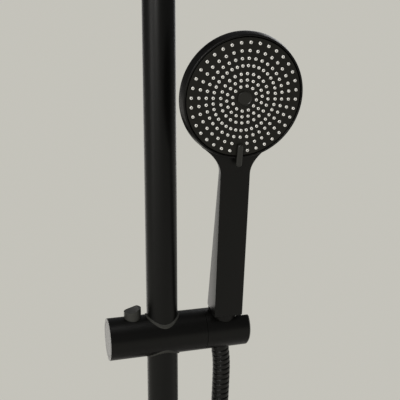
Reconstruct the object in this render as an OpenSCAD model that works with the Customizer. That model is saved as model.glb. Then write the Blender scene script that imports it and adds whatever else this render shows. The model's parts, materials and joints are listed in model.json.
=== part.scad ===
/* [Column] */
// Outside diameter of the riser tube, which is also the slider's rail
rail_d = 25; // [22:0.5:28]
// Wall thickness of the riser tube
rail_wall = 1.5; // [1:0.1:2.5]
// Distance from the wall to the riser's axis
rail_off = 62; // [55:1:80]
// Height of the riser's top end above the inlet
riser_top = 1130; // [1000:5:1400]
// Height of the upper wall bracket above the inlet
bracket_z = 1040; // [950:5:1300]

/* [Slider] */
// Height of the slider's axis above the inlet in the stored pose
slider_z = 740; // [400:5:760]
// Diameter of the horizontal slider
slider_d = 33.2; // [33:0.2:40]
// Length of the slider left of the riser's axis
slider_left = 44.2; // [40:0.2:60]
// Distance from the riser's axis to the seam with the holder
seam_x = 34; // [34:0.2:40]
// Length of the turning holder, from the seam to its end
holder_len = 36.7; // [36:0.1:46]
// Radial wall of the grey liner
liner_wall = 1.35; // [1:0.05:2]
// Diameter of the release button
button_d = 13.6; // [10:0.1:14]
// Height of the button above the slider
button_h = 7.6; // [5:0.1:12]

/* [Hand shower] */
// Forward tilt of the hand shower in the stored pose
tilt = 13.4; // [9:0.1:40]
// Distance from the slider's axis to the centre of the spray face
head_w = 195; // [180:1:230]
// Outside diameter of the hand shower's head
head_d = 93.6; // [86:0.2:104]
// Width of the handle
grip_w = 23.4; // [21:0.2:26]
// Depth of the handle at its lower end
grip_deep = 27.4; // [25:0.2:30]
// Depth of the handle at its neck
neck_deep = 12.4; // [12:0.2:18]
// Width of the selector tab
tab_w = 4.4; // [3:0.1:8]

/* [Overhead shower] */
// Reach of the overhead arm from the riser's axis
arm_reach = 380; // [300:5:450]
// Diameter of the arm
arm_d = 22; // [20:0.5:25]
// Diameter of the rain head
rain_d = 220; // [180:2:260]
// Thickness of the rain head's rim
rain_t = 8; // [6:0.5:12]

/* [Hose and diverter] */
// Outside diameter of the hose
hose_d = 15; // [13:0.2:15]
// Diameter of the diverter's body
div_d = 38; // [36:0.5:46]
// Diameter of the diverter's knob
knob_d = 32; // [26:0.5:36]
// Depth of the diverter's knob
knob_l = 24; // [18:0.5:30]
// Diameter of the wall flanges
flange_d = 60; // [56:1:70]

/* [Hidden] */

$fn = 64;
black = [0.03, 0.03, 0.03];
grey = [0.2, 0.2, 0.19];
steel = [0.6, 0.6, 0.62];
brass = [0.7, 0.55, 0.25];
white = [0.82, 0.82, 0.8];
rubber = [0.08, 0.08, 0.08];

static_gap = 0.05;   // between pieces fixed together
run_gap = 0.05;      // a shaft turning in its hole
move_gap = 0.3;      // a curved face that moves past another
eps = 0.01;

rail_r = rail_d / 2;
div_r = div_d / 2;
knob_r = knob_d / 2;
flange_r = flange_d / 2;
post_r = 14;
port_r = 6;
inlet_r = 9.3;
inlet_len = 14;
seal_t = 2;
slider_r = slider_d / 2;
holder_end = seam_x + holder_len;
cup_x = seam_x + 16.4;
liner_r = rail_r + run_gap + liner_wall;
body_bore = liner_r + run_gap;
cavity_r = slider_r - 2.8;
wall_x = body_bore + 2.2;
button_r = button_d / 2;
button_x = -(wall_x + button_r + 1.2);
button_top = slider_r + button_h;
stem_r = 3.2;
shoe_h = 3.5;
cup_top = slider_r - 4.5;
cup_low = slider_r - 7;
cup_k = (cup_top - cup_low) / (2 * slider_r);
nut_top = slider_r + 2.4;
grip_low = nut_top + move_gap;
hose_r = hose_d / 2;
slot_w = hose_d + 0.8;
grip_back = 12.9;
grip_front = grip_deep - grip_back;
neck_w = head_w - 57;
neck_front = neck_deep - grip_back;
face_v = 2.4;
head_r = head_d / 2;
plate_r = head_r - 3.6;
nozzle_k = plate_r / 43.2;
thread_r = 10.1;
arm_r = arm_d / 2;
arm_z = riser_top + 35;
arm_bend = 40;
arm_end = riser_top - 18;
ball_z = arm_end - 18;
ball_r = 9;
rain_r = rain_d / 2;
rain_top = ball_z - 14;
rain_y = -rail_off - arm_reach;
elbow_r = rail_r + 4.5;
hose_side = cup_x + 30;
hose_bottom = -305;

// Frames: at the slider, along the tilted hand shower, on the spray face, across the column
module at_slider() translate([0, -rail_off, slider_z]) children();
module at_cup() translate([cup_x, -rail_off, slider_z]) rotate([tilt, 0, 0]) children();
module at_face() at_cup() translate([0, -face_v, head_w]) rotate([90, 0, 0]) children();
module at_rail() translate([0, -rail_off, 0]) children();
module along_x() rotate([0, 90, 0]) children();
module along_y(y) translate([0, y, 0]) rotate([90, 0, 0]) children();
module at_rain() translate([0, rain_y, 0]) children();

module tube(ro, ri, z0, z1) {
    difference() {
        translate([0, 0, z0]) cylinder(r = ro, h = z1 - z0);
        translate([0, 0, z0 - 1]) cylinder(r = ri, h = z1 - z0 + 2);
    }
}

module rod(r, z0, z1) translate([0, 0, z0]) cylinder(r = r, h = z1 - z0);

module bar_y(r, y0, y1) translate([0, y1, 0]) rotate([90, 0, 0]) cylinder(r = r, h = y1 - y0);

module bar_x(r, x0, x1) translate([x0, 0, 0]) rotate([0, 90, 0]) cylinder(r = r, h = x1 - x0);

// Rod with both ends chamfered by c
module chamfered(r, z0, z1, c) {
    rotate_extrude()
        polygon([[0, z0], [r - c, z0], [r, z0 + c], [r, z1 - c], [r - c, z1], [0, z1]]);
}

// ---- Lower wall connection and diverter

module inlet_post() color(black) difference() {
    bar_y(post_r, -rail_off + 16, 0);
    bar_y(inlet_r, -inlet_len + seal_t, 1);
    bar_y(inlet_r - 0.5, -inlet_len, 0);
    bar_y(port_r, -rail_off, 0);
}

module inlet_seal() color(rubber) difference() {
    bar_y(inlet_r - 0.6, -inlet_len, -inlet_len + seal_t - 0.1);
    bar_y(port_r, -inlet_len - 1, -inlet_len + 3);
}

module wall_flange_lower() color(black) difference() {
    along_y(0) rotate_extrude()
        polygon([[post_r + static_gap, 0], [flange_r, 0], [flange_r, 4], [flange_r - 3, 7],
            [post_r + static_gap, 7]]);
}

module diverter_body() color(black) at_rail() difference() {
    union() {
        chamfered(div_r, -32, 46, 1.2);
        bar_y(post_r + 3, 0, rail_off - (rail_off - 24));
        bar_y(15, -div_r - 5, 0);
    }
    rod(rail_r + static_gap, 22, 47);
    rod(8, 0, 23);
    rod(inlet_r + static_gap, -33, -18);
    rod(port_r, -19, 0);
    bar_y(post_r + static_gap, 16, 25);
    bar_y(port_r, 0, 17);
    bar_y(11, -div_r - 6, 8);
    translate([div_r - 7, 0, 34]) bar_x(2.05, -1, 9);
}

module diverter_cartridge() color(white) at_rail() difference() {
    bar_y(11 - static_gap, -16, 8);
    bar_y(7, -6, 9);
    bar_y(3 + run_gap, -17, 0);
    rod(4, -20, 20);
}

module cartridge_nut() color(brass) at_rail() difference() {
    bar_y(11 - static_gap, -div_r - 4, -16);
    bar_y(4.5, -div_r - 6, -15);
}

module hose_nipple() color(brass) at_rail() difference() {
    union() {
        rod(inlet_r, -33, -19);
        rod(12, -37, -32);
        rod(thread_r, -48, -36);
    }
    rod(5.5, -49, -18);
}

module check_valve() color(white) at_rail() tube(5.5 - static_gap, 2.5, -40, -26);

module riser_tube() color(black) at_rail() tube(rail_r, rail_r - rail_wall, 22, riser_top);

module riser_o_ring() color(rubber) at_rail()
    translate([0, 0, riser_top - 23]) rotate_extrude()
        translate([rail_r + 0.85, 0]) circle(r = 0.8, $fn = 24);

module riser_grub_screw() color(steel) at_rail()
    translate([0, 0, 34]) bar_x(2, rail_r + static_gap, div_r - 0.5);

module bracket_base() color(steel) translate([0, 0, bracket_z]) difference() {
    union() {
        bar_y(20, -4, 0);
        bar_y(6, -14, -3);
    }
    for (s = [-1, 1]) translate([s * 14, 0, 0]) bar_y(2.6, -5, 1);
}

module bracket_post() color(black) translate([0, 0, bracket_z]) difference() {
    bar_y(9, -rail_off + 14.5, -4);
    bar_y(6 + static_gap, -14.2, -3);
}

module bracket_collar() color(black) translate([0, -rail_off, bracket_z]) difference() {
    union() {
        chamfered(rail_r + 4.5, -17, 17, 1);
        bar_y(12, 0, 22);
    }
    rod(rail_r + static_gap, -18, 18);
    bar_y(9 + static_gap, 14.5, 23);
    bar_y(2.05, -rail_r - 6, -rail_r + 2);
}

module bracket_flange() color(black) translate([0, 0, bracket_z]) difference() {
    along_y(0) rotate_extrude()
        polygon([[9 + static_gap, 7], [21, 7], [21, 0], [flange_r - 4, 0],
            [flange_r - 4, 7], [flange_r - 7, 10], [9 + static_gap, 10]]);
}

module bracket_grub_screw() color(steel) translate([0, -rail_off, bracket_z])
    bar_y(2, -rail_r - 4, -rail_r - static_gap);

// ---- Diverter knob

knob_y = -rail_off - div_r - 5 - 0.4;

module diverter_knob() color(black) difference() {
    union() {
        along_y(knob_y) chamfered(knob_r, 0, knob_l, 1);
        translate([0, knob_y - knob_l / 2, 0]) rod(2.6, knob_r - 2, knob_r + 13);
        translate([0, knob_y - knob_l / 2, knob_r + 13]) sphere(r = 2.6);
    }
    bar_y(3 + static_gap, knob_y - knob_l + 6, knob_y + 1);
    translate([0, knob_y - knob_l / 2, 0]) rod(1.55, -knob_r - 1, 0);
}

module diverter_spindle() color(brass)
    bar_y(3, knob_y - knob_l + 6.2, -rail_off - 3);

module diverter_disc() color(white) difference() {
    bar_y(6.7, -rail_off - 5.9, -rail_off - 3);
    bar_y(3 + static_gap, -rail_off - 7, -rail_off);
}

module knob_grub_screw() color(steel)
    translate([0, knob_y - knob_l / 2, 0]) rod(1.5, -knob_r + 1, -3 - static_gap);

// ---- Overhead arm

module arm_elbow() color(black) at_rail() difference() {
    union() {
        chamfered(elbow_r, riser_top - 38, arm_z + elbow_r, 1.5);
        translate([0, 0, arm_z]) bar_y(arm_r + 3, -elbow_r - 8, 0);
    }
    rod(rail_r + run_gap, riser_top - 39, riser_top + run_gap);
    rod(rail_r + 1.7, riser_top - 24.5, riser_top - 21.5);
    rod(rail_r - 2.5, riser_top - 1, arm_z);
    translate([0, 0, arm_z]) sphere(r = rail_r - 2.5);
    translate([0, 0, arm_z]) bar_y(arm_r - 1.5, -elbow_r - 9, 0);
    translate([0, 0, arm_z]) bar_y(arm_r + static_gap, -elbow_r - 9, -elbow_r + 4);
}

module arm_run(r, over) {
    translate([0, 0, arm_z]) bar_y(r, rain_y + arm_bend, -rail_off - elbow_r + 4 + over);
    translate([0, rain_y + arm_bend, arm_z - arm_bend]) rotate([0, -90, 0])
        rotate([0, 0, -90]) rotate_extrude(angle = 90) translate([arm_bend, 0]) circle(r = r);
    at_rain() rod(r, arm_end - over, arm_z - arm_bend);
}

module overhead_arm() color(black) difference() {
    arm_run(arm_r, 0);
    arm_run(arm_r - 1.5, 1);
}

module arm_nipple() color(black) at_rain() difference() {
    chamfered(arm_r + 2.5, arm_end - 6, arm_end + 12, 0.8);
    rod(arm_r + static_gap, arm_end, arm_end + 13);
    rod(5 + static_gap, arm_end - 7, arm_end + 1);
}

module arm_seal() color(rubber) at_rain() tube(arm_r - 1.6, 5 + static_gap, arm_end, arm_end + 2);

module swivel_ball() color(steel) at_rain() difference() {
    union() {
        translate([0, 0, ball_z]) sphere(r = ball_r);
        rod(5, ball_z, arm_end + 8);
    }
    rod(3, ball_z - ball_r - 1, arm_end + 9);
}

// ---- Rain head

module swivel_seat() color(white) at_rain() difference() {
    intersection() {
        translate([0, 0, ball_z]) sphere(r = ball_r + 1.2);
        rod(12, ball_z - 8.5, ball_z - 2.7);
    }
    translate([0, 0, ball_z]) sphere(r = ball_r + 0.1);
}

module rain_head_top() color(black) at_rain() difference() {
    rotate_extrude()
        polygon([[0, rain_top - rain_t + 2], [rain_r - 2, rain_top - rain_t + 2],
            [rain_r - 2, rain_top - rain_t], [rain_r - 1, rain_top - rain_t],
            [rain_r, rain_top - rain_t + 1], [rain_r, rain_top - 1], [rain_r - 1, rain_top],
            [22, rain_top], [15, rain_top + 3], [15, ball_z], [0, ball_z]]);
    rod(10.5, ball_z - 10.1, ball_z + 1);
    rod(6, rain_top - rain_t, ball_z - 9);
    rod(rain_r - 5, rain_top - rain_t + 1, rain_top - 2);
}

module rain_gasket() color(rubber) at_rain()
    tube(rain_r - 5.2, rain_r - 8, rain_top - rain_t + 2, rain_top - 2.1);

module rain_head_face() color(grey) at_rain()
    tube(rain_r - 2.1, 0.6, rain_top - rain_t, rain_top - rain_t + 2);

module rain_nozzles() color(rubber) at_rain()
    for (k = [1 : 5], i = [0 : 8 * k - 1])
        rotate([0, 0, i * 45 / k + k * 11])
            translate([k * (rain_r - 18) / 5, 0, rain_top - rain_t - 1.6])
                cylinder(r1 = 1.3, r2 = 2, h = 1.6, $fn = 16);

module swivel_nut() color(black) at_rain() difference() {
    chamfered(18.5, ball_z - 8, ball_z + 6, 0.8);
    rod(15 + static_gap, ball_z - 9, ball_z + static_gap);
    translate([0, 0, ball_z]) sphere(r = ball_r + move_gap);
}

// ---- Slider on the riser

module slider_liner() color(grey) at_slider() difference() {
    intersection() {
        rod(liner_r, -slider_r - 2, slider_r + 2);
        bar_x(slider_r + 0.7, -40, 40);
    }
    rod(rail_r + run_gap, -40, 40);
}

module slider_body() color(black) at_slider() difference() {
    union() {
        bar_x(slider_r, -slider_left, seam_x - 0.15);
        bar_x(8, seam_x - 1, seam_x + 1.7);
    }
    rod(body_bore, -40, 40);
    bar_x(cavity_r, -slider_left - 1, -wall_x);
    translate([button_x, 0, 0]) rod(button_r + move_gap, 0, 40);
    translate([-wall_x - 1, -4.1, -shoe_h - 0.1]) cube([6, 8.2, 2 * shoe_h + 0.2]);
    bar_x(3 + static_gap, seam_x - 13, seam_x + 3);
    translate([seam_x - 1.2, 0, 0]) along_x() tube(13, 9, 0, 3);
}

module slider_end_cap() color(black) at_slider() difference() {
    along_x() chamfered(cavity_r - static_gap, -slider_left, -slider_left + 4, 0.3);
    bar_x(cavity_r - 3, -slider_left + 2, -slider_left + 5);
}

module brake_shoe() color(white) at_slider() difference() {
    translate([button_x + stem_r + 0.1, -4, -shoe_h])
        cube([-liner_r - button_x - stem_r + 2, 8, 2 * shoe_h]);
    rod(liner_r + run_gap, -40, 40);
}

module pivot_bolt() color(steel) at_slider() {
    bar_x(3, seam_x - 12.8, seam_x + 4);
    bar_x(5.5, seam_x + 3.95, seam_x + 5.4);
}

module friction_washer() color(white) at_slider()
    translate([seam_x - 1.2, 0, 0]) along_x() tube(12.9, 9.1, 0, 1.3);

module button_spring() color(steel) at_slider()
    for (i = [0 : 5]) translate([button_x, 0, -12.8 + 0.5 + i * 1.5])
        rotate_extrude() translate([2.6, 0]) circle(r = 0.5, $fn = 16);

module release_button() color(grey) at_slider() difference() {
    translate([button_x, 0, 0]) union() {
        rod(button_r, 8, button_top);
        rod(button_r + 0.9, 7.5, 9.2);
        rod(stem_r, -4.2, 8);
    }
    translate([button_x - 5, 0, button_top + 15.4]) rotate([90, 0, 0])
        cylinder(r = 18, h = 40, center = true);
}

// ---- Turning holder

module holder_body() color(black) at_slider() difference() {
    along_x() rotate_extrude()
        polygon([[0, seam_x + 0.15], [slider_r, seam_x + 0.15], [slider_r, holder_end - 1.2],
            [slider_r - 1.2, holder_end], [0, holder_end]]);
    translate([cup_x, 0, 0]) rotate([tilt, 0, 0]) translate([0, 0, -slider_r - 3])
        cylinder(r1 = cup_low - 3 * cup_k, r2 = cup_top + 3 * cup_k, h = 2 * slider_r + 6);
    translate([cup_x, 0, 0]) rotate([tilt, 0, 0])
        translate([0, -slot_w / 2, -40]) cube([60, slot_w, 80]);
    bar_x(8 + run_gap, seam_x, seam_x + 2);
    bar_x(3 + run_gap, seam_x, seam_x + 8);
    bar_x(5.8, seam_x + 3.9, cup_x);
}

// ---- Hose end in the holder

module hose_cone_nut() color(black) at_cup() difference() {
    translate([0, 0, -slider_r + 1.6])
        cylinder(r1 = cup_low + 1.6 * cup_k - 0.25,
            r2 = cup_low - 0.25 + (slider_r + nut_top) * cup_k, h = slider_r - 1.6 + nut_top);
    rod(8.5, -20, 4);
    rod(6.4, 3, 8);
    rod(thread_r + run_gap, 7, 40);
}

module hose_ferrule_upper() color(steel) at_cup() difference() {
    union() {
        rod(8.35, -13, 3.7);
        rod(6.3, 3, 8);
        rod(9.8, 7.1, 9.5);
    }
    rod(hose_r + 0.1, -14, 0);
    rod(4.5, -1, 10);
}

module hose_washer_upper() color(rubber) at_cup() tube(9.8, 4.6, 9.5, 11.5);

// ---- Hand shower

// One slice of the grip: flat front, straight sides, round back
module grip_slice(w, front, half, depth) translate([0, 0, w]) linear_extrude(0.02) hull() {
    translate([-half, -front]) square([2 * half, 0.5]);
    intersection() {
        translate([0, grip_back - depth]) scale([half / depth, 1]) circle(r = depth, $fn = 48);
        translate([-30, grip_back - depth]) square([60, 30]);
    }
}

module handset_shell() color(black) difference() {
    union() {
        at_cup() hull() {
            grip_slice(grip_low, grip_front, grip_w / 2, 8.5);
            grip_slice(neck_w, neck_front, grip_w / 2, 8.5);
        }
        at_cup() hull() {
            grip_slice(neck_w, neck_front, grip_w / 2, 8.5);
            grip_slice(neck_w + 16, neck_front - 1.5, grip_w / 2 + 5.5, 8);
        }
        at_face() rotate_extrude($fn = 96)
            polygon([[0, -17], [22, -16.6], [head_r - 9, -15], [head_r - 3, -12.2],
                [head_r, -8.6], [head_r - 0.3, -4.4], [head_r - 1.5, -0.6], [head_r - 2.2, 0.4],
                [head_r - 3.2, 0.4], [0, 0.4]]);
    }
    at_face() rod(plate_r + move_gap, -6, 1);
    at_face() rod(plate_r - 3, -9.3, 1);
    at_face() rod(plate_r - 12, -13.5, 1);
    at_cup() rod(thread_r + static_gap, grip_low - 2, grip_low + 15);
    at_cup() rotate([-2.7, 0, 0]) rod(4.1, grip_low, head_w - 30);
}

module handset_inlet() color(brass) at_cup() difference() {
    rod(thread_r, 11.55, grip_low + 14.5);
    rod(4.4, 11, grip_low + 9);
    rotate([-2.7, 0, 0]) rod(4.1, grip_low + 5, grip_low + 20);
}

module handset_waterway() color(white) at_cup()
    rotate([-2.7, 0, 0]) tube(4, 3, grip_low + 7, head_w - 43.5);

module distributor_disc() color(white) at_face() difference() {
    union() {
        rod(plate_r - 3.2, -9, -6.2);
        rod(4, -7, -2.3);
    }
    for (a = [0 : 60 : 359]) rotate([0, 0, a]) translate([20, 0, 0]) rod(2.5, -10, -5);
}

module spray_face() color(grey) at_face() difference() {
    rod(plate_r, -5.6, 0);
    rod(4 + run_gap, -6, -2.2);
    tube(plate_r - 3, 8, -6, -2.5);
}

// Rings of soft nozzles; the tab takes one nozzle's place in the two outer rings
module spray_nozzles() color(white) at_face()
    for (ring = [[9.1, 12, -6], [13.5, 18, -3], [18, 24, 0], [23.6, 36, 0], [28.7, 36, 0],
            [34.1, 36, 0], [39.7, 36, 0]], i = [0 : ring[1] - 1])
        if (ring[0] < 30 || i > 0)
            rotate([0, 0, -90 + ring[2] + i * 360 / ring[1]])
                translate([ring[0] * nozzle_k, 0, 0]) cylinder(r1 = 1.5, r2 = 1.15, h = 1.3, $fn = 16);

module selector_tab() color(grey) at_face() {
    hull() for (r = [plate_r - 9, plate_r + 6.2])
        translate([0, -r, 0.7]) cylinder(r = tab_w / 2, h = 2, $fn = 32);
    translate([-tab_w / 2, -plate_r + 0.6, 0]) cube([tab_w, 7, 1.5]);
}

module centre_cap() color(grey) at_face() rotate_extrude()
    polygon([[0, 0], [5.45, 0], [5.45, 0.8], [4.9, 1.3], [0, 1.3]]);

// ---- Hose

// Route of the hose's centre line, from the hand shower to the diverter's outlet
function cup_point(w) = [cup_x, -rail_off - w * sin(tilt), slider_z + w * cos(tilt)];
hose_y = -rail_off;
route = [
    cup_point(-1), cup_point(-15), cup_point(-35), [cup_x, hose_y + 16, slider_z - 70],
    [cup_x, hose_y + 20, slider_z - 110], [cup_x, hose_y + 19, slider_z - 160],
    [cup_x + 2, hose_y + 14, slider_z - 240], [cup_x + 6, hose_y + 7, slider_z - 340],
    [cup_x + 12, hose_y + 1, slider_z - 450], [cup_x + 18, hose_y - 3, slider_z - 560],
    [cup_x + 23, hose_y - 5, slider_z - 660], [cup_x + 27, hose_y - 6, slider_z - 760],
    [cup_x + 29.5, hose_y - 6, slider_z - 880], [hose_side, hose_y - 6, hose_bottom + 60],
    [hose_side, hose_y - 6, hose_bottom],
    [hose_side - 8, hose_y - 6, hose_bottom - 32],
    [hose_side - 31, hose_y - 5, hose_bottom - 55.5], [hose_side - 64, hose_y - 4, hose_bottom - 64],
    [hose_side - 97, hose_y - 3, hose_bottom - 55.5], [hose_side - 120, hose_y - 2, hose_bottom - 32],
    [hose_side - 128, hose_y - 1, hose_bottom], [hose_side - 126, hose_y, hose_bottom + 45],
    [-38, hose_y, -204], [-22, hose_y, -157], [-7, hose_y, -117], [-0.5, hose_y, -84],
    [0, hose_y, -64]
];

// Points of a smooth curve through the route, three between each two
function smooth(p, i, t) =
    let (a = p[max(i - 1, 0)], b = p[i], c = p[i + 1], d = p[min(i + 2, len(p) - 1)])
    0.5 * ((2 * b) + (c - a) * t + (2 * a - 5 * b + 4 * c - d) * t * t
        + (3 * b - a - 3 * c + d) * t * t * t);
line = [
    for (i = [0 : len(route) - 2], t = [0 : 1 / 3 : 0.9]) smooth(route, i, t),
    route[len(route) - 1]
];

function unit(v) = v / norm(v);

// Tube with eight sides about the line
module sweep(path, r, sides) {
    n = len(path);
    ring = [
        for (i = [0 : n - 1])
            let (t = unit(path[min(i + 1, n - 1)] - path[max(i - 1, 0)]),
                u = unit(cross(t, [0, 1, 0.1])), v = cross(t, u))
            for (k = [0 : sides - 1])
                path[i] + r * (cos(k * 360 / sides) * u + sin(k * 360 / sides) * v)
    ];
    faces = concat(
        [[for (k = [0 : sides - 1]) k]],
        [for (i = [0 : n - 2], k = [0 : sides - 1])
            [i * sides + k, (i + 1) * sides + k, (i + 1) * sides + (k + 1) % sides,
                i * sides + (k + 1) % sides]],
        [[for (k = [sides - 1 : -1 : 0]) (n - 1) * sides + k]]);
    polyhedron(points = ring, faces = faces, convexity = 10);
}

module hose() color(black) sweep(line, hose_r, 10);

module hose_nut_lower() color(black) at_rail() difference() {
    chamfered(12.6, -60, -37.5, 0.8);
    rod(thread_r + static_gap, -50.6, -36);
    rod(10, -53, -50);
    rod(6.4, -61, -52);
}

module hose_washer_lower() color(rubber) at_rail() tube(9.8, 4.6, -50, -48);

module hose_ferrule_lower() color(steel) at_rail() difference() {
    union() {
        rod(9.8, -52.6, -50.1);
        rod(6.3, -61, -52);
        rod(8.35, -82, -60.3);
    }
    rod(hose_r + 0.1, -83, -64);
    rod(4.5, -65, -50);
}

inlet_post();
inlet_seal();
wall_flange_lower();
diverter_body();
diverter_cartridge();
cartridge_nut();
hose_nipple();
check_valve();
riser_tube();
riser_o_ring();
riser_grub_screw();
bracket_base();
bracket_post();
bracket_collar();
bracket_flange();
bracket_grub_screw();
diverter_knob();
diverter_spindle();
diverter_disc();
knob_grub_screw();
arm_elbow();
overhead_arm();
arm_nipple();
arm_seal();
swivel_ball();
swivel_seat();
rain_head_top();
rain_head_face();
rain_nozzles();
rain_gasket();
swivel_nut();
slider_liner();
slider_body();
slider_end_cap();
brake_shoe();
pivot_bolt();
friction_washer();
button_spring();
release_button();
holder_body();
hose_cone_nut();
hose_ferrule_upper();
hose_washer_upper();
handset_shell();
handset_inlet();
handset_waterway();
distributor_disc();
spray_face();
spray_nozzles();
selector_tab();
centre_cap();
hose();
hose_nut_lower();
hose_ferrule_lower();
hose_washer_lower();
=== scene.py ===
import math
import json
import bpy
import numpy as np
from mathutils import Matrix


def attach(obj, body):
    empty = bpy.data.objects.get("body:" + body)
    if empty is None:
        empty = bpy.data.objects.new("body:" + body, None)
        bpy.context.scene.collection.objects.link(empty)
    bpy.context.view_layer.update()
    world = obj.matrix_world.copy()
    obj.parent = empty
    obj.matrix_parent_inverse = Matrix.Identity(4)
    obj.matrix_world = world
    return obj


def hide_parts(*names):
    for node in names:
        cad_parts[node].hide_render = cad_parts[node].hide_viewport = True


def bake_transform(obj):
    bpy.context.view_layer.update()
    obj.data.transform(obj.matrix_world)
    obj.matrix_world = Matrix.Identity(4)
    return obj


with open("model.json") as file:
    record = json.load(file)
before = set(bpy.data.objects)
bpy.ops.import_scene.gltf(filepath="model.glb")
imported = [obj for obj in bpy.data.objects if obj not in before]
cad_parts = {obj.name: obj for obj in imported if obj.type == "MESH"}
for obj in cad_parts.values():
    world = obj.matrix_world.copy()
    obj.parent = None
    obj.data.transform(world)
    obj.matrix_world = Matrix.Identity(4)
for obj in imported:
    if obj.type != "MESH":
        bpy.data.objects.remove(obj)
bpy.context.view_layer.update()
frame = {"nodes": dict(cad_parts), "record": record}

# Shared sizes, in metres, in the object's own frame
sizes = {
    "riser": (0.0, -0.062),  # x, y of the riser's axis
    "sliderHeight": 0.740,
    "cupX": 0.0504,  # axis of the holder's cup
    "tilt": math.radians(13.4),  # forward lean of the hand shower
    "headAlong": 0.195,  # from the slider's axis to the middle of the spray face
    "faceForward": 0.0024,  # the face lies this far in front of the cup's axis
}
cupAt = np.array([sizes["cupX"], sizes["riser"][1], sizes["sliderHeight"]])
gripUp = np.array([0.0, -math.sin(sizes["tilt"]), math.cos(sizes["tilt"])])
gripFront = np.array([0.0, -math.cos(sizes["tilt"]), -math.sin(sizes["tilt"])])
gripSide = np.array([1.0, 0.0, 0.0])
faceAt = cupAt + gripUp * sizes["headAlong"] + gripFront * sizes["faceForward"]


def alongGrip(side, front, up):
    # Points given sideways, forwards and along the hand shower, in the object's frame.
    side, front, up = np.broadcast_arrays(side, front, up)
    return cupAt + side[..., None] * gripSide + front[..., None] * gripFront + up[..., None] * gripUp


# camera
cameraSettings = {
    "place": (-0.1151, -0.5395, 0.9431),
    "turnRight": 17.12,  # degrees from +Y towards +X
    "lookDown": 10.75,
    "roll": -0.03,
    "lens": 57.6,
}
cameraData = bpy.data.cameras.new("Camera")
cameraData.lens = cameraSettings["lens"]
cameraData.sensor_width = 36
cameraData.clip_start, cameraData.clip_end = 0.01, 50
camera = bpy.data.objects.new("Camera", cameraData)
camera.location = cameraSettings["place"]
camera.rotation_euler = (math.radians(90 - cameraSettings["lookDown"]), math.radians(cameraSettings["roll"]),
    math.radians(-cameraSettings["turnRight"]))
bpy.context.scene.collection.objects.link(camera)
bpy.context.scene.camera = camera
print("camera set")


# helpers
def meshPiece(name, points, faces):
    # A smooth mesh object from an array of points and a list of arrays of faces, one array for each
    # number of corners.
    mesh = bpy.data.meshes.new(name)
    mesh.vertices.add(len(points))
    mesh.vertices.foreach_set("co", np.asarray(points, np.float32).ravel())
    corners = np.concatenate([np.asarray(f, int).ravel() for f in faces])
    counts = np.concatenate([np.full(len(f), np.asarray(f).shape[1]) for f in faces])
    mesh.loops.add(len(corners))
    mesh.loops.foreach_set("vertex_index", corners)
    mesh.polygons.add(len(counts))
    mesh.polygons.foreach_set("loop_start", np.concatenate([[0], np.cumsum(counts)[:-1]]))
    mesh.polygons.foreach_set("loop_total", counts)
    mesh.update(calc_edges=True)
    mesh.validate()
    mesh.polygons.foreach_set("use_smooth", np.ones(len(mesh.polygons), bool))
    made = bpy.data.objects.new(name, mesh)
    bpy.context.scene.collection.objects.link(made)
    return made


def gridFaces(rows, columns, wrap=True):
    # Four-cornered faces between rows of points; wrap joins the last column to the first.
    r, c = np.meshgrid(np.arange(rows - 1), np.arange(columns if wrap else columns - 1), indexing="ij")
    n = (c + 1) % columns
    quads = np.stack([r * columns + c, r * columns + n, (r + 1) * columns + n, (r + 1) * columns + c], -1)
    return quads.reshape(-1, 4)


def turnedPoints(profile, count, centre, axis, side, up):
    # Rows of points: centre + radius * (cos(angle) * side + sin(angle) * up) + height * axis, for each
    # profile point (radius, height) and each angle.
    profile = np.asarray(profile, float)
    angle = np.arange(count) * 2 * math.pi / count
    ring = np.cos(angle)[:, None] * np.asarray(side) + np.sin(angle)[:, None] * np.asarray(up)
    return (np.asarray(centre) + profile[:, 0, None, None] * ring[None] + profile[:, 1, None, None] * np.asarray(axis))


def roundedProfile(corners, radii, steps=5):
    # A polyline whose inner corners are rounded: each is cut at its radius from both sides and bridged
    # by (1 - t)^2 * start + 2t(1 - t) * corner + t^2 * end.
    corners = [np.array(c, float) for c in corners]
    out = [corners[0]]
    for before, at, after, radius in zip(corners, corners[1:], corners[2:], radii):
        if radius <= 0:
            out.append(at)
            continue
        a, b = before - at, after - at
        la, lb = np.linalg.norm(a), np.linalg.norm(b)
        cut = min(radius, 0.49 * la, 0.49 * lb)
        start, end = at + a / la * cut, at + b / lb * cut
        for t in np.linspace(0, 1, steps):
            out.append((1 - t) ** 2 * start + 2 * t * (1 - t) * at + t ** 2 * end)
    out.append(corners[-1])
    return np.array(out)


def turnedPiece(name, corners, radii, centre, axis, side, up, count=96):
    # A turned body whose outline starts and ends on its axis.
    profile = roundedProfile(corners, radii)
    points = turnedPoints(profile, count, centre, axis, side, up)
    return meshPiece(name, points.reshape(-1, 3), [gridFaces(len(profile), count)])


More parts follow.
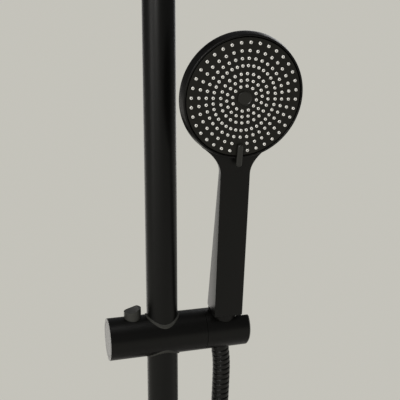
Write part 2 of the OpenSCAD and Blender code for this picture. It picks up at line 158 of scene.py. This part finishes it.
# materials
def finish(name, colour, rough, metallic=0.0, spread=0.05, grain=900.0, bump=0.02, spec=0.5, tint=0.0):
    # A plain finish whose roughness drifts with fine grain, over a faint bump.
    made = bpy.data.materials.new(name)
    made.use_nodes = True
    nodes, links = made.node_tree.nodes, made.node_tree.links
    shader = nodes["Principled BSDF"]
    shader.inputs["Base Color"].default_value = (*colour, 1)
    shader.inputs["Roughness"].default_value = rough
    shader.inputs["Metallic"].default_value = metallic
    shader.inputs["Specular IOR Level"].default_value = spec
    place = nodes.new("ShaderNodeTexCoord")
    noise = nodes.new("ShaderNodeTexNoise")
    noise.inputs["Scale"].default_value = grain
    noise.inputs["Detail"].default_value = 3
    links.new(place.outputs["Object"], noise.inputs["Vector"])
    drift = nodes.new("ShaderNodeMapRange")
    drift.inputs["From Min"].default_value = 0.3
    drift.inputs["From Max"].default_value = 0.7
    drift.inputs["To Min"].default_value = max(0.02, rough - spread)
    drift.inputs["To Max"].default_value = min(1, rough + spread)
    links.new(noise.outputs["Fac"], drift.inputs["Value"])
    links.new(drift.outputs["Result"], shader.inputs["Roughness"])
    if bump:
        raised = nodes.new("ShaderNodeBump")
        raised.inputs["Strength"].default_value = bump
        raised.inputs["Distance"].default_value = 0.0004
        links.new(noise.outputs["Fac"], raised.inputs["Height"])
        links.new(raised.outputs["Normal"], shader.inputs["Normal"])
    if tint:
        broad = nodes.new("ShaderNodeTexNoise")
        broad.inputs["Scale"].default_value = 60
        broad.inputs["Detail"].default_value = 2
        links.new(place.outputs["Object"], broad.inputs["Vector"])
        ramp = nodes.new("ShaderNodeMix")
        ramp.data_type = "RGBA"
        ramp.inputs["A"].default_value = (*[max(0, v * (1 - tint)) for v in colour], 1)
        ramp.inputs["B"].default_value = (*[v * (1 + tint) for v in colour], 1)
        links.new(broad.outputs["Fac"], ramp.inputs["Factor"])
        links.new(ramp.outputs["Result"], shader.inputs["Base Color"])
    return made


finishes = {
    "black_metal": finish("black_metal", (0.0022, 0.0022, 0.0019), 0.38, spread=0.04, bump=0.05, grain=2600,
        spec=0.24),
    "black_plastic": finish("black_plastic", (0.0022, 0.0021, 0.0017), 0.34, spread=0.04, bump=0.03, grain=2600,
        spec=0.24),
    "black_hose": finish("black_hose", (0.0030, 0.0029, 0.0025), 0.36, spread=0.04, bump=0, grain=900, spec=0.3),
    "grey_plastic": finish("grey_plastic", (0.034, 0.034, 0.030), 0.44, spread=0.05, bump=0.06, grain=3000, spec=0.35),
    "face_plastic": finish("face_plastic", (0.0085, 0.0080, 0.0058), 0.5, spread=0.05, bump=0.05, grain=3000,
        spec=0.25),
    "white_plastic": finish("white_plastic", (0.78, 0.78, 0.75), 0.45),
    "pale_silicone": finish("pale_silicone", (0.93, 0.92, 0.88), 0.4, tint=0.04),
    "dark_silicone": finish("dark_silicone", (0.05, 0.05, 0.05), 0.6, tint=0.1),
    "seal_rubber": finish("seal_rubber", (0.025, 0.025, 0.025), 0.7),
    "brass": finish("brass", (0.72, 0.52, 0.25), 0.28, metallic=1.0),
    "steel": finish("steel", (0.6, 0.6, 0.61), 0.3, metallic=1.0),
    "tab_plastic": finish("tab_plastic", (0.012, 0.012, 0.010), 0.32, spread=0.04, bump=0.02, grain=3000, spec=0.5),
    "cap_plastic": finish("cap_plastic", (0.0085, 0.0080, 0.0058), 0.30, spread=0.03, bump=0, spec=0.4),
    # painted shade: near-black colour for the disc set low in each nozzle hole, standing in for the hole's depth
    "painted_hole_shade": finish("painted_hole_shade", (0.012, 0.012, 0.011), 0.7, bump=0),
}
print("finishes made")


# hose
hose = {
    "radius": 0.0075,
    "pitch": 0.0046,  # from one groove to the next
    "grooveDepth": 0.0010,
    "crown": 0.0003,  # how far each rib swells in its middle
    "sides": 26,
    "grooveShare": 0.17,  # of a pitch, on each side of the groove's middle
    "loopHalf": 0.064,  # half the loop's width, and its depth under loopFrom
    "steps": (0.0, 0.05, 0.10, 0.17, 0.28, 0.5, 0.72, 0.83, 0.90, 0.95),  # where rings lie in one pitch
    "stretches": (0.0, 0.098, 0.196, 0.300),  # where the pieces meet, measured from the hand shower
    "loopFrom": -0.305,  # the loop's lowest middle lies under this height
}


def hoseRoute():
    # The hose's own points, from the cup down, round the loop and up to the outlet.
    x, y, z = cupAt
    inCup = [cupAt + gripUp * w for w in (-0.001, -0.015)]
    side, low, half = x + 0.030, hose["loopFrom"], hose["loopHalf"]
    rest = [(x + 0.0025, y + 0.006, z - 0.036), (x + 0.0022, y + 0.008, z - 0.070), (x + 0.001, y + 0.0095, z - 0.110),
        (x + 0.001, y + 0.0095, z - 0.160), (x + 0.003, y + 0.008, z - 0.240), (x + 0.0065, y + 0.005, z - 0.340),
        (x + 0.012, y, z - 0.450), (x + 0.018, y - 0.003, z - 0.560), (x + 0.023, y - 0.005, z - 0.660),
        (x + 0.027, y - 0.006, z - 0.760), (x + 0.0295, y - 0.006, z - 0.880), (side, y - 0.006, low + 0.060),
        (side, y - 0.006, low),
        (side - 0.008, y - 0.006, low - 0.032), (side - 0.031, y - 0.005, low - 0.0555),
        (side - half, y - 0.004, low - half), (side - 0.097, y - 0.003, low - 0.0555),
        (side - 0.120, y - 0.002, low - 0.032), (side - 2 * half, y - 0.001, low), (side - 0.126, y, low + 0.045),
        (-0.038, y, -0.204), (-0.022, y, -0.157), (-0.007, y, -0.117), (-0.0005, y, -0.084), (0.0, y, -0.064)]
    return np.array([*inCup, *rest])


def smoothLine(p, each):
    # A curve through every point b, c with neighbours a, d: half of 2b + (c - a)t
    # + (2a - 5b + 4c - d)t^2 + (3b - a - 3c + d)t^3, for t from 0 to 1.
    a = p[np.maximum(np.arange(len(p) - 1) - 1, 0)][:, None]
    b, c = p[:-1][:, None], p[1:][:, None]
    d = p[np.minimum(np.arange(len(p) - 1) + 2, len(p) - 1)][:, None]
    t = (np.arange(each) / each)[None, :, None]
    line = 0.5 * (2 * b + (c - a) * t + (2 * a - 5 * b + 4 * c - d) * t ** 2 + (3 * b - a - 3 * c + d) * t ** 3)
    return np.concatenate([line.reshape(-1, 3), p[-1:]])


def lineFrame(line):
    # Lengths along a line, and at each point its direction and two steady sideways directions.
    along = np.concatenate([[0], np.cumsum(np.linalg.norm(np.diff(line, axis=0), axis=1))])
    ahead = np.gradient(line, along, axis=0)
    ahead /= np.linalg.norm(ahead, axis=1)[:, None]
    one = np.cross(ahead, [0.0, 1.0, 0.1])
    one /= np.linalg.norm(one, axis=1)[:, None]
    return along, ahead, one, np.cross(ahead, one)


def hosePiece(name, line, start, end):
    # A ribbed tube. A ring lies at pitch * (phase + angle / full turn) along the line, so it climbs one
    # pitch in a turn; its radius dips near whole phases, for the groove, and swells between them.
    along, ahead, one, two = lineFrame(line)
    turns = np.arange(math.floor(start / hose["pitch"]) - 1, math.ceil(end / hose["pitch"]) + 1)
    phase = (turns[:, None] + np.array(hose["steps"])[None]).ravel()
    angle = np.arange(hose["sides"] + 1) * 2 * math.pi / hose["sides"]
    place = (phase[:, None] + angle[None] / (2 * math.pi)) * hose["pitch"]
    keep = (place.max(1) > start) & (place.min(1) < end)
    phase, place = phase[keep], np.clip(place[keep], start, end)
    inPitch = phase % 1
    bead = 1 - np.clip(1 - np.minimum(inPitch, 1 - inPitch) / hose["grooveShare"], 0, 1) ** 2
    crown = hose["crown"] * (1 - (2 * inPitch - 1) ** 2)
    radius = hose["radius"] - hose["grooveDepth"] * (1 - bead) - hose["crown"] + crown
    at, u, v = (np.stack([np.interp(place, along, q[:, k]) for k in range(3)], -1) for q in (line, one, two))
    points = at + radius[:, None, None] * (np.cos(angle)[None, :, None] * u + np.sin(angle)[None, :, None] * v)
    rows, columns = points.shape[:2]
    made = meshPiece(name, points.reshape(-1, 3), [gridFaces(rows, columns, wrap=False)])
    made.data.materials.append(finishes["black_hose"])
    path = line[(along >= start) & (along <= end)]
    ends = [np.array([np.interp(s, along, line[:, k]) for k in range(3)]) for s in (start, end)]
    return made, np.concatenate([ends[:1], path, ends[1:]]), ends


hoseLine = smoothLine(hoseRoute(), 40)
hoseAlong = lineFrame(hoseLine)[0]
hoseLength = float(hoseAlong[-1])
lowest = float(hoseAlong[hoseLine[:, 2].argmin()])
cuts = [*hose["stretches"], lowest, hoseLength]
hosePairs = [("cone_nut", "holder"), ("holder", "slider"), ("slider", "liner"), ("liner", "column"), None]
for index, pair in enumerate(hosePairs):
    piece, path, ends = hosePiece(f"hose_{'abcde'[index]}", hoseLine, cuts[index], cuts[index + 1])
    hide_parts("hose")
    if pair:
        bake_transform(piece)
    else:
        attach(piece, "column")
print("hose made,", round(hoseLength, 3), "m long")


# hand shower
grip = {
    "frontAt": 0.0145,  # how far the flat front lies forward of the cup's axis at its lower end
    "frontSlope": 0.127,
    "halfWidth": 0.0117,
    "straightTo": -0.0044,
    "backDepth": 0.0085,
    "from": 0.0193,
    "to": 0.157,
    "flareFrom": 0.136,
    "footRadius": 0.0008,
    "edge": 0.0007,  # radius on the long edges of the flat front
    "flareRadius": 0.0145,  # the neck widens as a parabola that starts like a circle of this radius
    "thinnest": 0.003,  # the least depth of the straight sides
    "rows": 70,
}


def gripSection(up):
    # Outlines of the handle, as (sideways, forwards) at each height: the flat front lies at frontAt less
    # frontSlope times the height, its two edges are quarter circles, and the back is half an ellipse,
    # (half * cos(angle), straightTo - backDepth * sin(angle)).
    up = np.asarray(up)
    front = grip["frontAt"] - (up - grip["from"]) * grip["frontSlope"]
    half = grip["halfWidth"] + np.maximum(up - grip["flareFrom"], 0) ** 2 / (2 * grip["flareRadius"])
    r = grip["edge"]
    turn = np.linspace(0, math.pi / 2, 6)[None]
    back = np.linspace(0, math.pi, 41)[None]
    low = np.minimum(grip["straightTo"], front - grip["thinnest"])
    half, front, low = half[:, None], front[:, None], low[:, None]
    right = np.stack([half - r + r * np.sin(turn), front - r + r * np.cos(turn)], -1)
    ellipse = np.stack([half * np.cos(back), low - grip["backDepth"] * np.sin(back)], -1)
    left = np.stack([-half + r - r * np.cos(turn), front - r + r * np.sin(turn)], -1)
    return np.concatenate([right, ellipse, left], 1)


footAt = grip["from"] + grip["footRadius"]
alongs = np.linspace(footAt, grip["to"], grip["rows"])
outline = gripSection(alongs)
foot = outline[:1]
middle = foot.mean(axis=1, keepdims=True)
towards = (foot - middle) / np.linalg.norm(foot - middle, axis=2, keepdims=True)
turnIn = np.radians([90.0, 65.0, 40.0, 18.0])[:, None, None]  # the foot's edge is a quarter circle
rounded = foot - towards * grip["footRadius"] * (1 - np.cos(turnIn))
outline = np.concatenate([np.repeat(middle, foot.shape[1], axis=1), rounded, outline])
rowsUp = np.concatenate([[grip["from"]], footAt - grip["footRadius"] * np.sin(turnIn[:, 0, 0]), alongs])
gripPoints = alongGrip(outline[..., 0], outline[..., 1], rowsUp[:, None])
handle = meshPiece("hand_shower_grip", gripPoints.reshape(-1, 3), [gridFaces(len(rowsUp), outline.shape[1])])
handle.data.materials.append(finishes["black_plastic"])

head = {
    "rimRadius": 0.0468,
    "frontEdge": 0.0449,
    "plateRadius": 0.0432,
    "depth": 0.017,
    "sides": 160,
}
plateEdge = head["plateRadius"]
headOutline = [(0, -head["depth"]), (0.031, -head["depth"] + 0.0004), (0.0425, -0.0135), (head["rimRadius"], -0.0082),
    (head["frontEdge"], 0.0005), (plateEdge + 0.0006, 0.0006), (plateEdge - 0.0001, -0.0010), (0.0, -0.0011)]
headRounding = [0.012, 0.012, 0.009, 0.0006, 0.0003, 0.0002]
headShell = turnedPiece("hand_shower_head", headOutline, headRounding, faceAt, gripFront, gripSide, gripUp,
    head["sides"])
headShell.data.materials.append(finishes["black_plastic"])
for piece in (handle, headShell):
    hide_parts("handset_shell")
    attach(piece, "hand_shower")
print("hand shower made")

# spray face
face = {
    "rings": (0.0091, 0.0134, 0.0179, 0.0235, 0.0286, 0.0339, 0.0395),
    "counts": (12, 18, 24, 36, 36, 36, 36),
    "phases": (-6.0, -3.0, -1.0, -1.0, -1.0, -1.0, -1.0),  # degrees from the tab's direction
    "nozzleRadius": 0.00112,
    "holeRadius": 0.00048,
    "nozzleHeight": 0.0010,
    "capRadius": 0.00545,
    "tabFrom": 0.0338,
    "tabTo": 0.0513,
    "tabWidth": 0.0044,
    "tabClear": 0.0024,  # half width kept free of nozzles beside the tab
}
plateRim = face["rings"][-1] + 0.0033
plateOutline = [(0.0, -0.0015), (plateRim, -0.0015), (plateRim + 0.0001, 0.0), (0.0, 0.00015)]
plate = turnedPiece("spray_face_plate", plateOutline, [0, 0.0004], faceAt, gripFront, gripSide, gripUp, 128)
plate.data.materials.append(finishes["face_plastic"])
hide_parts("spray_face")


def facePoints(across, up, out):
    # Points on the spray face, from the tab's direction, in the object's frame.
    across, up, out = np.broadcast_arrays(across, up, out)
    return faceAt + across[..., None] * gripSide + up[..., None] * gripUp + out[..., None] * gripFront


def nozzlePlaces():
    # Where each nozzle stands: even steps round each ring, the two outer rings leaving out the one under
    # the tab.
    places = []
    for radius, count, phase in zip(face["rings"], face["counts"], face["phases"]):
        turn = np.radians(phase + np.arange(count) * 360 / count)
        spots = np.stack([radius * np.sin(turn), -radius * np.cos(turn)], -1)
        near = (np.abs(spots[:, 0]) < face["tabClear"]) & (spots[:, 1] < 0)
        places.append(spots[~(near & (radius > face["tabFrom"] - face["tabClear"]))])
    return np.concatenate(places)


def nozzlePieces(places, count=20):
    # The nozzles as one piece, and as another a dark disc of painted shade low in each hole: each outline's
    # (radius, height) is turned, as (cos(angle), sin(angle)) * radius, and set down at each place.
    r, h, hole = face["nozzleRadius"], face["nozzleHeight"], face["holeRadius"]
    made = []
    tip = [(r, -0.0003), (r * 0.98, h * 0.45), (r * 0.86, h * 0.9), (r * 0.62, h), (hole * 1.25, h),
        (hole, h * 0.86), (hole, h * 0.3)]
    # a dark disc near the bottom of each hole, painted shade in place of the hole's depth
    holeShadeDisc = [(hole * 1.02, h * 0.32), (0.0, h * 0.3)]
    for name, profile in (("spray_nozzle_tips", tip), ("spray_nozzle_hole_shade", holeShadeDisc)):
        profile = np.array(profile)
        turn = np.arange(count) * 2 * math.pi / count
        across = places[:, 0, None, None] + profile[None, :, 0, None] * np.cos(turn)
        up = places[:, 1, None, None] + profile[None, :, 0, None] * np.sin(turn)
        out = np.broadcast_to(profile[None, :, 1, None], across.shape)
        rows = len(profile)
        faces = gridFaces(rows, count)[None] + (np.arange(len(places)) * rows * count)[:, None, None]
        made.append(meshPiece(name, facePoints(across, up, out).reshape(-1, 3), [faces.reshape(-1, 4)]))
    return made


tips, holeShade = nozzlePieces(nozzlePlaces())
tips.data.materials.append(finishes["pale_silicone"])
# the discs in the holes take the near-black finish as painted shade
holeShade.data.materials.append(finishes["painted_hole_shade"])
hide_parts("spray_nozzles")
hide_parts("spray_nozzles")
capEdge = face["capRadius"]
capOutline = [(0.0, 0.0007), (capEdge - 0.0009, 0.0007), (capEdge - 0.0005, 0.0012), (capEdge, 0.0012),
    (capEdge + 0.0001, -0.0002), (0.0, -0.0004)]
capRounding = [0.0003, 0.0003, 0.0004, 0]
cap = turnedPiece("spray_centre_cap", capOutline, capRounding, faceAt, gripFront, gripSide, gripUp, 64)
cap.data.materials.append(finishes["cap_plastic"])
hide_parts("centre_cap")


def tabPiece(count=24):
    # The selector's tab: two half circles of radius half - inset, joined by straight sides, at each
    # height; the inset grows towards the top to round its edge.
    half = face["tabWidth"] / 2
    turn = np.linspace(0, math.pi, count)
    inset = np.array([0.0, 0.0, 0.00018, 0.0006, 0.0012, 0.0021])[:, None]
    height = np.array([0.0007, 0.0019, 0.0024, 0.0027, 0.00285, 0.0029])[:, None]
    r = half - inset
    lower, upper = face["tabTo"] - half, face["tabFrom"] + half
    across = np.concatenate([r * np.cos(turn), r * -np.cos(turn)], 1)
    up = np.concatenate([-lower - r * np.sin(turn), -upper + r * np.sin(turn)], 1)
    return meshPiece("spray_selector_tab", facePoints(across, up, height).reshape(-1, 3), [gridFaces(6, 2 * count),
        np.arange(2 * count)[None][:, ::-1], (np.arange(2 * count) + 10 * count)[None]])


tab = tabPiece()
tab.data.materials.append(finishes["tab_plastic"])
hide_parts("selector_tab")
for piece in (plate, tips, holeShade, cap, tab):
    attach(piece, "spray_selector")
print("spray face made,", len(nozzlePlaces()), "nozzles")

# finishes of the pieces that keep their CAD shape
recordSlots = {row["node"]: row["material_slot"] for row in frame["record"]["subparts"]}
for nodeName, node in frame["nodes"].items():
    node.data.materials.clear()
    node.data.materials.append(finishes[recordSlots[nodeName]])
print("finishes set on", len(recordSlots), "pieces")

# surroundings
studio = {
    "floorHeight": -0.3795,
    "floorReach": 30,
    "floorColour": (0.82, 0.80, 0.76),
    "floorFade": (0.7, 1.9),  # between these distances the floor turns into the backdrop's colour
    "seenColour": (0.555, 0.545, 0.495),
    "lightColour": (0.95, 0.96, 0.98),
    "lightStrength": 0.13,
    "lamps": {
        # name: place, aim, size, power, colour
        "wallLeft": ((-0.62, 1.9, 0.45), (0.0, -0.06, 0.75), (0.9, 1.9), 6, (1.0, 0.97, 0.93)),
        "left": ((-1.9, -0.9, 1.5), (0.0, -0.06, 0.80), (0.7, 1.6), 12, (1.0, 0.98, 0.95)),
        "top": ((-0.3, -0.5, 2.6), (0.0, -0.1, 0.80), (1.0, 1.0), 7, (1.0, 0.99, 0.97)),
        "front": ((-1.3, -2.0, 1.9), (0.0, -0.1, 0.80), (0.5, 0.8), 27, (1.0, 0.98, 0.95)),
        "back": ((1.4, 1.8, 1.3), (0.0, 0.0, 0.70), (1.2, 1.6), 10, (1.0, 1.0, 1.0)),
    },
}


def lamp(name, place, aim, size, power, colour):
    # A soft rectangular light that faces its aim.
    data = bpy.data.lights.new(name, "AREA")
    data.shape = "RECTANGLE"
    data.size, data.size_y = size
    data.energy = power
    data.color = colour
    made = bpy.data.objects.new(name, data)
    made.location = place
    made.visible_camera = False
    direction = np.array(aim) - np.array(place)
    made.rotation_euler = (math.atan2(math.hypot(direction[0], direction[1]), -direction[2]), 0,
        math.atan2(-direction[0], direction[1]))
    bpy.context.scene.collection.objects.link(made)


for lampName, values in studio["lamps"].items():
    lamp(lampName, *values)

floorMesh = bpy.data.meshes.new("floor")
reach, low = studio["floorReach"], studio["floorHeight"]
floorCorners = [(-reach, -reach, low), (reach, -reach, low), (reach, reach, low), (-reach, reach, low)]
floorMesh.from_pydata(floorCorners, [], [(0, 1, 2, 3)])
floor = bpy.data.objects.new("floor", floorMesh)
floorFinish = finish("floor", studio["floorColour"], 0.9, bump=0, grain=40, spec=0.1)
floor.data.materials.append(floorFinish)
floorNodes, floorLinks = floorFinish.node_tree.nodes, floorFinish.node_tree.links
distance = floorNodes.new("ShaderNodeVectorMath")
distance.operation = "LENGTH"
floorLinks.new(floorNodes["Texture Coordinate"].outputs["Object"], distance.inputs[0])
fade = floorNodes.new("ShaderNodeMapRange")
fade.interpolation_type = "SMOOTHSTEP"
fade.inputs["From Min"].default_value, fade.inputs["From Max"].default_value = studio["floorFade"]
floorLinks.new(distance.outputs["Value"], fade.inputs["Value"])
glow = floorNodes.new("ShaderNodeEmission")
glow.inputs["Color"].default_value = (*studio["seenColour"], 1)
blendFloor = floorNodes.new("ShaderNodeMixShader")
floorLinks.new(fade.outputs["Result"], blendFloor.inputs[0])
floorLinks.new(floorNodes["Principled BSDF"].outputs[0], blendFloor.inputs[1])
floorLinks.new(glow.outputs[0], blendFloor.inputs[2])
floorLinks.new(blendFloor.outputs[0], floorNodes["Material Output"].inputs["Surface"])
bpy.context.scene.collection.objects.link(floor)

world = bpy.data.worlds.new("studio")
world.use_nodes = True
bpy.context.scene.world = world
worldNodes, worldLinks = world.node_tree.nodes, world.node_tree.links
background = worldNodes["Background"]
background.inputs["Color"].default_value = (*studio["lightColour"], 1)
background.inputs["Strength"].default_value = studio["lightStrength"]
seen = worldNodes.new("ShaderNodeBackground")
seen.inputs["Color"].default_value = (*studio["seenColour"], 1)
seen.inputs["Strength"].default_value = 1.0
rays = worldNodes.new("ShaderNodeLightPath")
pick = worldNodes.new("ShaderNodeMixShader")
worldLinks.new(rays.outputs["Is Camera Ray"], pick.inputs[0])
worldLinks.new(background.outputs[0], pick.inputs[1])
worldLinks.new(seen.outputs[0], pick.inputs[2])
worldLinks.new(pick.outputs[0], worldNodes["World Output"].inputs["Surface"])
bpy.context.scene.view_settings.view_transform = "Standard"
print("lights set")
